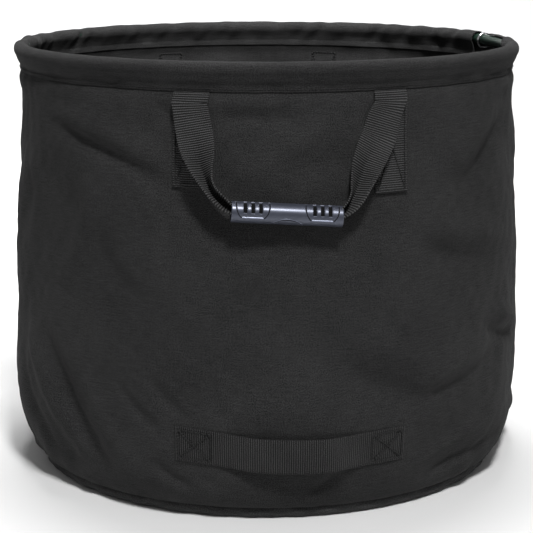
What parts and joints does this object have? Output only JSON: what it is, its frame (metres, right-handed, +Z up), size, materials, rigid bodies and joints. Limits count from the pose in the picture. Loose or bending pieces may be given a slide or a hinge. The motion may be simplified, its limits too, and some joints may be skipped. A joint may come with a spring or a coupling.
{
  "type": "garden tool bag",
  "caption": "Round open canvas garden bag on a hooped rim, with two webbing carry handles in moulded grips, a low tipping strap and a hang ring.",
  "frame": {"origin": "centre of the bag's underside, on the floor", "axes": "+Z up through the mouth, -Y towards the side with the low strap, +X to the right of a person who faces that side"},
  "size_m": [0.608, 0.6374, 0.498],
  "materials": {
    "canvas": "charcoal-black woven canvas, matt",
    "hem_canvas": "black woven canvas, slightly smoother where it is stretched over the hoop",
    "base_canvas": "black coated canvas",
    "binding_tape": "black woven tape",
    "webbing": "dark grey ribbed webbing",
    "thread": "dark polyester thread",
    "grip_plastic": "satin blue-grey moulded plastic",
    "hoop_plastic": "dark green glossy tube",
    "plug_plastic": "dark moulded plastic",
    "ring_metal": "bright nickel-plated spring wire"
  },
  "bodies": {
    "bag": {"wall_front_panel": "canvas", "wall_back_panel": "canvas", "side_seam_tapes": "binding_tape", "base_panel": "base_canvas", "base_seam_binding": "binding_tape", "rim_casing_front": "hem_canvas", "rim_casing_back": "hem_canvas", "rim_hoop_tube": "hoop_plastic", "hoop_joint_plug": "plug_plastic", "front_patch_left": "webbing", "front_patch_right": "webbing", "back_patch_left": "webbing", "back_patch_right": "webbing", "lower_strap": "webbing", "front_patch_stitching": "thread", "back_patch_stitching": "thread", "lower_strap_stitching": "thread", "hem_stitching": "thread", "base_seam_stitching": "thread"},
    "front_handle": {"front_strap": "webbing"},
    "front_grip": {"front_grip_outer_shell": "grip_plastic", "front_grip_inner_shell": "grip_plastic"},
    "back_handle": {"back_strap": "webbing"},
    "back_grip": {"back_grip_outer_shell": "grip_plastic", "back_grip_inner_shell": "grip_plastic"},
    "ring": {"hang_ring": "ring_metal"}
  },
  "joints": [
    {"name": "front_handle_swing", "type": "hinge", "parent": "bag", "child": "front_handle", "pos_m": [0, -0.28111, 0.4649], "axis": [-1, 0, 0], "range_deg": [0, 145]},
    {"name": "front_grip_turn", "type": "hinge", "parent": "front_handle", "child": "front_grip", "pos_m": [-0.008, -0.30769, 0.3435], "axis": [0.998, 0, -0.0628], "range_deg": [-25, 25]},
    {"name": "back_handle_swing", "type": "hinge", "parent": "bag", "child": "back_handle", "pos_m": [0, 0.28111, 0.4649], "axis": [1, 0, 0], "range_deg": [0, 145]},
    {"name": "back_grip_turn", "type": "hinge", "parent": "back_handle", "child": "back_grip", "pos_m": [-0.008, 0.30769, 0.3435], "axis": [0.998, 0, -0.0628], "range_deg": [-25, 25]},
    {"name": "hang_ring_swing", "type": "hinge", "parent": "bag", "child": "ring", "pos_m": [0.27992, 0.07187, 0.4895], "axis": [-0.2487, 0.9686, 0], "range_deg": [-80, 80]}
  ]
}
